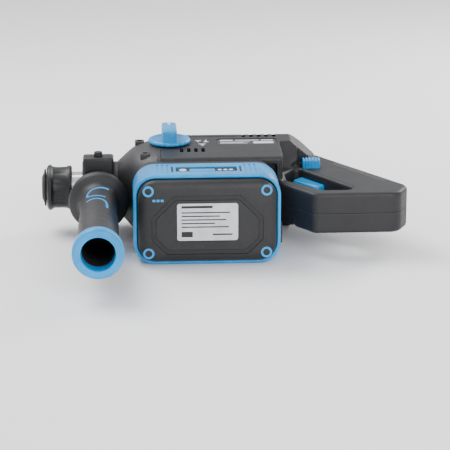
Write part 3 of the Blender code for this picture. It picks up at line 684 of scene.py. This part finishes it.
waist = [(17.6 - 0.35 * math.sin(math.pi * (h + 99) / 12), h) for h in range(-98, -86)]
SLEEVE = ([(9.6, -103.8), (16.6, -103.9), (17.6, -103.4), (18.9, -102.6), (19.3, -101.4), (19.2, -100.2),
           (18.0, -98.8)] + waist
          + [(18.3, -85.8), (18.5, -84.4), (18.2, -83.2), (17.6, -82.7), (13.8, -82.7), (13.8, -93.8), (9.6, -93.8)])
sleeve = lathe("chuck_sleeve", SLEEVE, "X", steps=144, flute=finger_flutes)
shade(sleeve)
black_plastic = plastic("black_plastic", (0.007, 0.007, 0.0075), 0.42)
fit(sleeve, black_plastic, "sleeve", "black_plastic", "sds_sleeve")
CAP = rounded([(5.6, -104.7, 0), (5.6, -107.9, 0.6), (9.5, -107.9, 0.8), (12.5, -106.4, 2), (15.6, -105.9, 0.8),
               (15.9, -104.7, 0.3)], 4)
cap = lathe("nose_cap", CAP, "X", steps=72)
shade(cap)
soft_rubber = plastic("soft_rubber", (0.008, 0.008, 0.0085), 0.72, grain=1100.0, depth=0.25, worn=1.5)
fit(cap, soft_rubber, "spindle", "seal_rubber", "dust_cap")
ground_steel = metal("ground_steel", (0.60, 0.60, 0.61), 0.24, direction=(900.0, 60.0, 60.0))
for node in ("hammer_tube", "locking_ball", "sleeve_spring"):
    keep_node(node, ground_steel)

# ----------------------------------------------------------------------
# Mode knob: a blue acetal disc with a tall thumb bar, on a stem through the left shell. Turning it selects
# drilling, hammer drilling or chiselling. The white pointer is a moulded insert.

BLUE = (0.0, 0.26, 0.60)
blue_plastic = plastic("blue_plastic", BLUE, 0.36, depth=0.35, worn=1.15, coat=0.15)
DISC = [(0.01, 38.4), (16.6, 38.4), (17.6, 38.8), (17.9, 39.6), (17.8, 40.6), (17.1, 41.5), (16.0, 41.9),
        (14.8, 41.6), (14.2, 41.2), (0.01, 41.2)]


def rim_notches(angle, radius, height):
    """A knurl of shallow notches round the disc's rim."""
    return radius - (0.35 if radius > 17 and math.cos(24 * angle) > 0.3 else 0.0)


knob = lathe("selector_knob", DISC, "Z", steps=144, flute=rim_notches)
bar = tablet("thumb_bar", oblong(-6.2, 6.2, -16.2, 16.2, 2.6), 40.0, 51.7, "side", 1.6, 4)
boolean(knob, "UNION", bar, dowel("stem", 5.9, 30.2, 39, (0, 0)))
boolean(knob, "DIFFERENCE", prism("side_hollow_a", oblong(-7.6, -5.4, -12.5, 12.5, 1.0), 43.2, 49.5),
        prism("side_hollow_b", oblong(5.4, 7.6, -12.5, 12.5, 1.0), 43.2, 49.5))
shade(knob, 40)
fit(knob, blue_plastic, "mode_knob", "blue_plastic", "mode_knob")
pointer = tablet("knob_pointer", oblong(-1.2, 1.2, 6.5, 14.5, 1.0), 51.3, 51.95, "side", 0.15, 3)
fit(pointer, print_white, "mode_knob", "blue_plastic")

# mode marks moulded into the shell beside the knob: a bit, a hammer head and a chisel, as plain raised shapes
MODE_BARS = [(22, 27, 5.35, 6.65), (23.85, 25.15, 1.7, 4.7), (30.35, 31.65, 2.5, 7.5), (28.9, 33.1, 1.35, 2.65),
             (24.5, 30.5, -5.6, -4.4), (26.3, 28.7, -9.6, -7.2)]
fit(flat_bars("mode_marks", MODE_BARS, HALF_WIDTH - 0.1, HALF_WIDTH + 0.2), print_white, "root", "gear_case_plastic")

# ----------------------------------------------------------------------
# Trigger and direction slider: blue acetal. The trigger is a hollow-fronted lever that slides into the grip, and
# the slider has five grip ribs across its top.

TRIGGER = rounded([(*grip_point(2.2, 6.4), 0), (*grip_point(2.2, -2), 2), (*grip_point(5, -11.8), 4),
                   (*grip_point(20, -9.6), 16), (*grip_point(33.8, -7.8), 3), (*grip_point(33.8, 6.4), 0)], 10)
trigger = soften(prism("trigger_lever", TRIGGER, -9.8, 9.8), 2.2, 4)
shade(trigger)
fit(trigger, blue_plastic, "trigger", "blue_plastic", "trigger")
slider = settle(soften(block("slider_button", (112.2, -12.8, 16.2), (126.8, -3.2, 24.4)), 0.8))
RIB_PITCH = 2.6
for i in range(5):
    start, end = 113.8 + RIB_PITCH * i, 114.9 + RIB_PITCH * i
    boolean(slider, "DIFFERENCE", block("rib_gap", (start, -20, 23.3), (end, 5, 30)),
            block("face_gap", (start, -15, 18), (end, -12, 30)))
shade(slider)
fit(slider, blue_plastic, "direction_slider", "blue_plastic", "direction_slider")

# ----------------------------------------------------------------------
# Battery bay: the black terminal block, slotted for its three brass blades and keyed for the pack, and the work
# light's ribbed lens.

contacts = settle(soften(block("contact_block", (37, -47.9, -17.9), (70, -38.4, 17.9)), 0.8))
blade_slots = [block(f"blade_slot_{i}", (36, -46.6, z - 0.9), (44, -39.4, z + 0.9))
               for i, z in enumerate((9.5, 0, -9.5))]
key_slots = [prism(f"key_slot_{i}", oblong(x, x + 5, z - 1.6, z + 1.6, 0.7), -50, -46.9, "top")
             for i, (x, z) in enumerate([(47, z) for z in (12, 4, -4, -12)] + [(59, z) for z in (8, -8)])]
boolean(contacts, "DIFFERENCE", *blade_slots, *key_slots)
shade(contacts)
fit(contacts, black_plastic, "root", "black_plastic", "terminal_block")
brass = metal("contact_brass", (0.78, 0.58, 0.27), 0.28)
for i in (1, 2, 3):
    keep_node(f"terminal_blade_{i}", brass, 0.1)
lens_mat = bpy.data.materials.new("lens_diffuser")
lens_mat.use_nodes = True
tree = lens_mat.node_tree
shader = tree.nodes["Principled BSDF"]
where = add(tree, "TexCoord")
prisms = add(tree, "TexWave", Scale=520.0, wave_type="BANDS")
tree.links.new(where.outputs["Object"], prisms.inputs["Vector"])
tree.links.new(blend_colour(tree, prisms.outputs["Fac"], (0.72, 0.76, 0.82), (0.90, 0.93, 0.96)),
               shader.inputs["Base Color"])
shader.inputs["Roughness"].default_value = 0.18
shader.inputs["Coat Weight"].default_value = 0.6
bump(tree, shader, prisms.outputs["Fac"], 0.3, 0.1)
keep_node("work_light_lens", lens_mat, 0.5, 3)

# ----------------------------------------------------------------------
# Battery: a graphite case in two mouldings round ten cells, screwed at its four corner posts, with a blue bumper
# round its waist. The cover carries the rails and the terminal well; the charge gauge sits in the bumper.

PACK_X = (-32.0, 87.0)
PACK_MID = sum(PACK_X) / 2
PACK_FACE = -107.9
PLATE_FLOOR = -107.3
TRENCH_FLOOR = -106.9
BUMPER_SPAN = (-101.0, -65.0)
CASE_TOP = -62.0
GAUGE_FACE = 36.7
OVERCUT = -112.0


def pillow(name, x_half, z_half, radius, levels):
    """A stack of rounded oblongs about the pack's middle; levels are (height, inset) pairs."""
    bm = bmesh.new()
    rings = []
    for height, inset in levels:
        outline = oblong(PACK_MID - x_half + inset, PACK_MID + x_half - inset, inset - z_half, z_half - inset,
                         radius - inset * 0.6, 12)
        rings.append([bm.verts.new(spot(x, height, z)) for x, z in outline])
    for ring, after in zip(rings, rings[1:]):
        for k in range(len(ring)):
            nxt = (k + 1) % len(ring)
            bm.faces.new((ring[k], ring[nxt], after[nxt], after[k]))
    bm.faces.new(rings[0])
    bm.faces.new(rings[-1])
    return new_piece(name, bm)


case = pillow("case_body", 56.2, 34.2, 15, [(CASE_TOP, 0), (-101, 0), (-102.8, 0.25), (-104.3, 0.8), (-105.5, 1.6),
                                            (-106.5, 2.8), (-107.2, 4.2), (-107.65, 5.8), (PACK_FACE, 7.6)])
CORNERS = [(PACK_MID + sx * 47.5, sz * 26) for sx, sz in ((-1, 1), (1, 1), (-1, -1), (1, -1))]
posts = [settle(soften(dowel(f"post_{i}", 5.2, -107.7, -100, corner, "top", 40), 0.5, 2))
         for i, corner in enumerate(CORNERS)]
boolean(case, "UNION", *posts)
boolean(case, "DIFFERENCE", prism("cells_room", oblong(-26.5, 81.5, -32.6, 32.6, 13), -104.4, -55, "top"))
BORDER = [(-45, 15), (-45, -4), (-27, -22), (27, -22), (45, -4), (45, 15), (33, 27), (-33, 27)]
PLATE = [(-41, 13.5), (-41, -2.5), (-25.5, -18), (25.5, -18), (41, -2.5), (41, 13.5), (31, 23), (-31, 23)]


def face_band(name, outer, inner, low, high):
    """A band between two outlines on the pack's outer face."""
    band, core = (prism(part, rounded([(PACK_MID + x, -z, 3) for x, z in points], 4), bottom, top, "top")
                  for part, points, bottom, top in ((name, outer, low, high), ("core", inner, low - 5, high + 5)))
    return boolean(band, "DIFFERENCE", core)


def on_face(x_half, z_half, radius):
    """An oblong outline about the middle of the pack's outer face."""
    return oblong(PACK_MID - x_half, PACK_MID + x_half, -z_half, z_half, radius)


boolean(case, "DIFFERENCE", face_band("trench", BORDER, PLATE, OVERCUT, TRENCH_FLOOR),
        prism("plate_well", on_face(25, 16, 2.5), OVERCUT, PLATE_FLOOR, "top"))
shade(case)
fit(case, graphite_plastic, "battery", "battery_plastic", "battery_case")
BAND_GAP = (0.993, 0.988)
band = face_band("face_band", [(x * BAND_GAP[0], z * BAND_GAP[1]) for x, z in BORDER],
                 [(x * (2 - BAND_GAP[0]), z * (2 - BAND_GAP[1])) for x, z in PLATE],
                 TRENCH_FLOOR - 0.6, TRENCH_FLOOR - 0.05)
fit(band, black_plastic, "battery", "black_plastic")
plate = tablet("rating_plate", on_face(24.6, 15.6, 2.2), PLATE_FLOOR - 0.45, PLATE_FLOOR - 0.02, "top")
silver = metal("silver_foil", (0.60, 0.61, 0.63), 0.36, brushed=0.1, worn=1.1)
fit(plate, silver, "battery", "zinc_steel")
PLATE_ROWS = [(-21, 4, 11.6, 2.0), (-21, 18, 7.4, 1.0), (-21, 10, 4.4, 1.0), (-21, 15, 1.4, 1.0),
              (-21, 6, -1.6, 1.0), (-21, 17, -4.6, 1.0), (4, 20, -11, 1.2), (-21, -12, -12.5, 4.5)]
plate_print = flat_bars("plate_print", [(PACK_MID + x0, PACK_MID + x1, z, z + h) for x0, x1, z, h in PLATE_ROWS],
                        PLATE_FLOOR - 0.54, PLATE_FLOOR - 0.44, "top")
fit(plate_print, label_film, "battery", "black_plastic")
for i, x in enumerate((PACK_MID - 43, PACK_MID - 39.7, PACK_MID - 36.4)):
    dash = tablet(f"pack_dash_{i}", oblong(x - 1.3, x + 1.3, 17.2, 19.4, 0.6), PACK_FACE - 0.08, -106.5, "top")
    fit(dash, blue_plastic, "battery", "blue_plastic")

bumper = prism("bumper_band", oblong(*PACK_X, -HALF_WIDTH, HALF_WIDTH, 18, 14), *BUMPER_SPAN, "top")
boolean(bumper, "DIFFERENCE",
        prism("inside", oblong(PACK_X[0] + 3, PACK_X[1] - 3, -34.5, 34.5, 15.2, 14), -110, -50, "top"))
settle(soften(bumper, 1.1, 3, 50))
window = settle(soften(block("window", (2.7, -90.3, 33), (52.3, -76.7, 42)), 1.2, 2))
flutes = [prism(f"flute_{side}_{i}", oblong(x - 0.8, x + 0.8, -97, -69, 0.75), *sorted((side * 36.9, side * 42)))
          for side in (-1, 1) for i, x in enumerate((-12, -8, -4, 59, 63, 67))]
boolean(bumper, "DIFFERENCE", window, *flutes)
shade(bumper)
fit(bumper, blue_plastic, "battery", "blue_plastic", "battery_bumper")
for i, corner in enumerate(CORNERS):
    ring = dowel(f"corner_ring_{i}", 4.5, PACK_FACE - 0.05, -106.2, corner, "top")
    boolean(ring, "DIFFERENCE", dowel("ring_hole", 2.8, OVERCUT, PACK_FACE + 1.0, corner, "top"))
    shade(ring)
    fit(ring, blue_plastic, "battery", "blue_plastic")

cover = prism("cover_body", oblong(PACK_X[0] + 2, PACK_X[1] - 2, -35.5, 35.5, 15, 12), -61.7, -51.0, "top")
settle(soften(cover, 1.6, 3, 50))
boolean(cover, "UNION", prism("tongue", oblong(10, 82, -28, 28, 3), -55, -40.2, "top"))
rails = [block(f"rail_gap_{side}", (8, -47.6, min(side * 25, side * 29)), (84, -45, max(side * 25, side * 29)))
         for side in (-1, 1)]
boolean(cover, "DIFFERENCE", prism("well", oblong(21, 72, -20, 20, 2), -49.5, -30, "top"),
        prism("under", oblong(-26, 81, -31, 31, 8), -70, -54, "top"),
        block("notch", (-31, -59.5, -12.3), (-24, -52.5, 12.3)), *rails)
shade(cover)
fit(cover, graphite_plastic, "battery", "battery_plastic", "battery_cover")
gauge = tablet("gauge_plate", oblong(3, 52, -90, -77, 3.5), 34.5, GAUGE_FACE, "side", 0.5, 2)
fit(gauge, black_plastic, "battery", "black_plastic", "battery_gauge")
for i, x in enumerate((38.5, 43, 47.5)):
    lamp = tablet(f"charge_lamp_{i}", oblong(x - 1.6, x + 1.6, -84.9, -82.1, 1.1), GAUGE_FACE - 0.2,
                  GAUGE_FACE + 0.25, "side", 0.15)
    fit(lamp, lens_mat, "battery", "lens_clear")
press = settle(soften(dowel("gauge_button", 3, GAUGE_FACE - 0.4, GAUGE_FACE + 0.4, (8.5, -83.5)), 0.25, 2))
fit(press, print_white, "battery", "black_plastic")
strip = tablet("gauge_strip", oblong(14, 34.5, -87, -80, 1.4), GAUGE_FACE - 0.2, GAUGE_FACE + 0.15)
fit(strip, blue_plastic, "battery", "blue_plastic")
for side in (-1, 1):
    x = PACK_MID + side * 27.6
    bracket = tablet(f"gauge_bracket_{side}", oblong(x - 0.9, x + 0.9, -91.5, -75.5, 0.8),
                     HALF_WIDTH - 0.3, HALF_WIDTH + 0.06)
    fit(bracket, black_plastic, "battery", "black_plastic")
release = settle(soften(block("release_tab", (-29.6, -58.9, -11.9), (-26.8, -53.1, 11.9)), 0.6, 2))
shade(release)
fit(release, blue_plastic, "battery_release", "blue_plastic", "battery_release")

# ----------------------------------------------------------------------
# Side handle: a steel band and a ribbed black clamp grip the 43 mm collar; twisting the hollow grip tightens the
# bolt. The grip has a domed hand guard, a rubber-feel skin, inlaid blue lines and a blue ring round its open end.

SIDE_X = -60.0
CLAMP = [(21.9, -12.8), (26.2, -12.8), (26.9, -12.2), (26.9, 12.2), (26.2, 12.8), (21.9, 12.8)]


def clamp_ribs(angle, radius, height):
    """Ribs along the outside of the clamp ring."""
    return radius - (0.9 if radius > 25 and math.cos(36 * angle) > 0.1 else 0.0)


ribbed = lathe("clamp_ring", CLAMP, "X", SIDE_X, 144, clamp_ribs)
foot = settle(soften(block("foot", (SIDE_X - 12.8, -36, -16.8), (SIDE_X + 12.8, -20, 16.8)), 2, 4))
rod_boss = settle(soften(block("boss", (SIDE_X - 12.8, -29.8, 12), (SIDE_X + 12.8, -13.2, 32.8)), 2, 4))
SEAT = [(0.01, -34.2), (22.4, -34.2), (23.5, -34.8), (23.8, -36), (23.8, -38), (23.3, -39.3), (0.01, -39.3)]
seat = lathe("seat", SEAT, "Y", SIDE_X)
boolean(ribbed, "UNION", foot, rod_boss, seat)
channel = lathe("channel", [(21.0, -6.6), (30, -6.6), (30, 6.6), (21.0, 6.6)], "X", SIDE_X)
boolean(ribbed, "DIFFERENCE", dowel("saddle", 21.8, -90, -30, (0, 0), "cross", 64), channel,
        block("neck", (SIDE_X - 6.6, -37, -8.6), (SIDE_X + 6.6, -20, 8.6)),
        dowel("bolt_way", 4.6, -45, -30, (SIDE_X, 0), "top", 48),
        dowel("rod_way", 3.9, -90, -30, (-22, 26), "cross", 64), dowel("lock_way", 3.9, 26, 40, (SIDE_X, -22)))
shade(ribbed)
fit(ribbed, black_plastic, "side_clamp", "black_plastic", "side_handle_base")
keep_node("side_handle_band", black_oxide, 0.4)
keep_node("side_handle_bolt", zinc)
keep_node("depth_lock_button", black_plastic, 0.5, 3)

OUTSIDE = [(4.6, -40.2), (17.5, -40.3), (21.5, -41.0), (24.0, -42.4), (24.9, -44.2), (24.8, -45.8), (23.8, -47.6),
           (21.4, -49.6), (18.6, -51.8), (16.6, -54.6), (15.7, -58.5), (15.3, -64), (15.1, -74), (15.2, -90),
           (15.8, -106), (16.3, -122), (16.3, -140), (15.9, -156), (15.9, -166), (16.6, -174), (17.3, -178)]
HOLLOW = [(12.8, -178.2), (12.8, -120), (6.2, -115), (6.2, -78), (4.6, -77)]


def hand_rings(angle, radius, height):
    """Shallow rings for the fingers along the lower grip."""
    if radius < 14 or not -160 < height < -118:
        return radius
    return radius - 0.45 * (0.5 + 0.5 * math.cos((height + 118) * 2 * math.pi / 7))


handle = lathe("handle_grip", between(OUTSIDE, 4) + HOLLOW, "Y", SIDE_X, flute=hand_rings)
shade(handle)
handle_dark = plastic("handle_dark", (0.017, 0.0167, 0.018), 0.48)
fit(handle, handle_dark, "side_grip", "handle_plastic", "side_handle_grip")
RIM = rounded([(18.3, -178.8, 1.2), (20.3, -181, 1.5), (20.3, -188, 1.8), (18.4, -189.8, 1.0), (13.6, -189.8, 0.8),
               (13.2, -186, 1), (13.2, -178.8, 0)], 4)
end_ring = lathe("handle_end_ring", RIM, "Y", SIDE_X)
shade(end_ring)
fit(end_ring, blue_plastic, "side_grip", "blue_plastic", "side_handle_end_ring")


def grip_radius(height):
    """The grip's outer radius at a height, from its profile."""
    for (r0, h0), (r1, h1) in zip(OUTSIDE, OUTSIDE[1:]):
        if h1 <= height <= h0:
            return r0 + (r1 - r0) * (h0 - height) / (h0 - h1)
    return OUTSIDE[-1][0]


def inlay(name, path, width=2.3):
    """A blue line laid into the grip's skin: path gives (angle in degrees round the grip, height)."""
    smooth = between(path, 8)
    bm = bmesh.new()
    sides = []
    for i, (angle, height) in enumerate(smooth):
        ahead = smooth[min(i + 1, len(smooth) - 1)]
        behind = smooth[max(i - 1, 0)]
        radius = grip_radius(height)
        along = Vector((math.radians(ahead[0] - behind[0]) * radius, ahead[1] - behind[1])).normalized()
        across = Vector((-along.y, along.x)) * width / 2
        row = []
        for sign, lift in ((1, -0.6), (1, 0.12), (-1, 0.12), (-1, -0.6)):
            h = height + sign * across.y
            a = math.radians(angle) + sign * across.x / radius
            r = grip_radius(h) + lift
            row.append(bm.verts.new(spot(SIDE_X + r * math.sin(a), h, r * math.cos(a))))
        sides.append(row)
    for row, after in zip(sides, sides[1:]):
        for k in range(4):
            bm.faces.new((row[k], row[(k + 1) % 4], after[(k + 1) % 4], after[k]))
    bm.faces.new(sides[0])
    bm.faces.new(sides[-1])
    piece = new_piece(name, bm)
    shade(piece)
    fit(piece, blue_plastic, "side_grip", "blue_plastic")


HOOK = [(32, -57), (6, -58), (-22, -61), (-36, -67), (-34, -74), (-12, -78), (22, -80)]
TAIL = [(-40, -86), (-8, -87), (18, -91), (26, -99), (27, -112)]
for side, start in (("top", 0.0), ("under", 180.0)):
    inlay(f"inlay_hook_{side}", [(start + angle, height) for angle, height in HOOK])
    inlay(f"inlay_tail_{side}", [(start + angle, height) for angle, height in TAIL])

# ----------------------------------------------------------------------
# Drive and electrics inside the housing: the frame's own solids with their real metals, copper windings, green
# boards and wrapped cells, seen when the battery is off or a shell is lifted.

hard_steel = metal("hardened_steel", (0.34, 0.34, 0.35), 0.3, direction=(60.0, 900.0, 60.0))
cast = metal("die_cast", (0.66, 0.67, 0.68), 0.42, brushed=0.4, direction=(300.0, 300.0, 300.0))
iron = metal("laminated_iron", (0.30, 0.30, 0.31), 0.42, brushed=0.6, direction=(2600.0, 10.0, 10.0))
copper = metal("winding_copper", (0.76, 0.36, 0.19), 0.36, brushed=0.8, direction=(40.0, 1500.0, 1500.0))
board_green = plastic("board_green", (0.02, 0.19, 0.08), 0.38, grain=420.0, depth=0.3, coat=0.3)
cell_wrap = plastic("cell_wrap", (0.10, 0.32, 0.20), 0.32, depth=0.05, coat=0.3)
finishes = {
    ground_steel: ["beat_piece", "striker", "wobble_ring", "intermediate_shaft", "rotor_shaft", "front_bearing",
                   "intermediate_bearing", "motor_bearing_front", "motor_bearing_rear"],
    hard_steel: ["spindle_gear", "intermediate_pinion", "intermediate_gear", "motor_pinion"],
    cast: ["piston", "bearing_flange"], iron: ["rotor_magnets"], copper: ["stator"],
    board_green: ["control_board", "battery_board"], black_plastic: ["trigger_switch", "cooling_fan"],
    soft_rubber: ["front_seal"], cell_wrap: [f"battery_cell_pair_{i}" for i in range(1, 6)]}
for mat, nodes in finishes.items():
    for node in nodes:
        keep_node(node, mat)

# ----------------------------------------------------------------------
# Studio: a plain pale floor, a bright even surround, a large soft key from above and behind on the left, and a
# low fill. The camera looks along the tool from its underside, a little to the left, as it lies on its side.

floor_bm = bmesh.new()
bmesh.ops.create_grid(floor_bm, x_segments=2, y_segments=2, size=3.0)
floor = new_piece("studio_floor", floor_bm)
floor.location = (0, 0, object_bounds()[0][2] - 0.0002)
pale = bpy.data.materials.new("pale_floor")
pale.use_nodes = True
pale.node_tree.nodes["Principled BSDF"].inputs["Base Color"].default_value = (0.92, 0.92, 0.925, 1)
pale.node_tree.nodes["Principled BSDF"].inputs["Roughness"].default_value = 0.7
wear_as(floor, pale)

world = bpy.data.worlds.new("studio")
world.use_nodes = True
world.node_tree.nodes["Background"].inputs["Color"].default_value = (0.95, 0.96, 1.0, 1)
world.node_tree.nodes["Background"].inputs["Strength"].default_value = 0.95
bpy.context.scene.world = world


def softbox(name, place, aim, size, power):
    """A square area light turned to a point."""
    lamp = bpy.data.lights.new(name, "AREA")
    lamp.size = size
    lamp.energy = power
    light = bpy.data.objects.new(name, lamp)
    light.location = place
    light.rotation_euler = (Vector(aim) - Vector(place)).to_track_quat("-Z", "Y").to_euler()
    bpy.context.scene.collection.objects.link(light)


TARGET = Vector((0.0, 0.0, 0.036))
softbox("key", (-0.5, 0.35, 0.9), TARGET, 0.6, 12)
softbox("front_fill", (0.35, -1.1, 0.55), TARGET, 0.8, 12)
softbox("rim", (0.7, 0.7, 0.5), TARGET, 0.4, 8)

AZIMUTH, ELEVATION, DISTANCE = math.radians(-3), math.radians(17), 1.75
lens = bpy.data.cameras.new("camera")
lens.sensor_width = 36
lens.lens = 172
camera = bpy.data.objects.new("camera", lens)
aim = Vector((0.0, -0.01, 0.028))
camera.location = aim + DISTANCE * Vector((math.sin(AZIMUTH) * math.cos(ELEVATION),
                                           -math.cos(AZIMUTH) * math.cos(ELEVATION), math.sin(ELEVATION)))
camera.rotation_euler = (aim - camera.location).to_track_quat("-Z", "Y").to_euler()
bpy.context.scene.collection.objects.link(camera)
bpy.context.scene.camera = camera
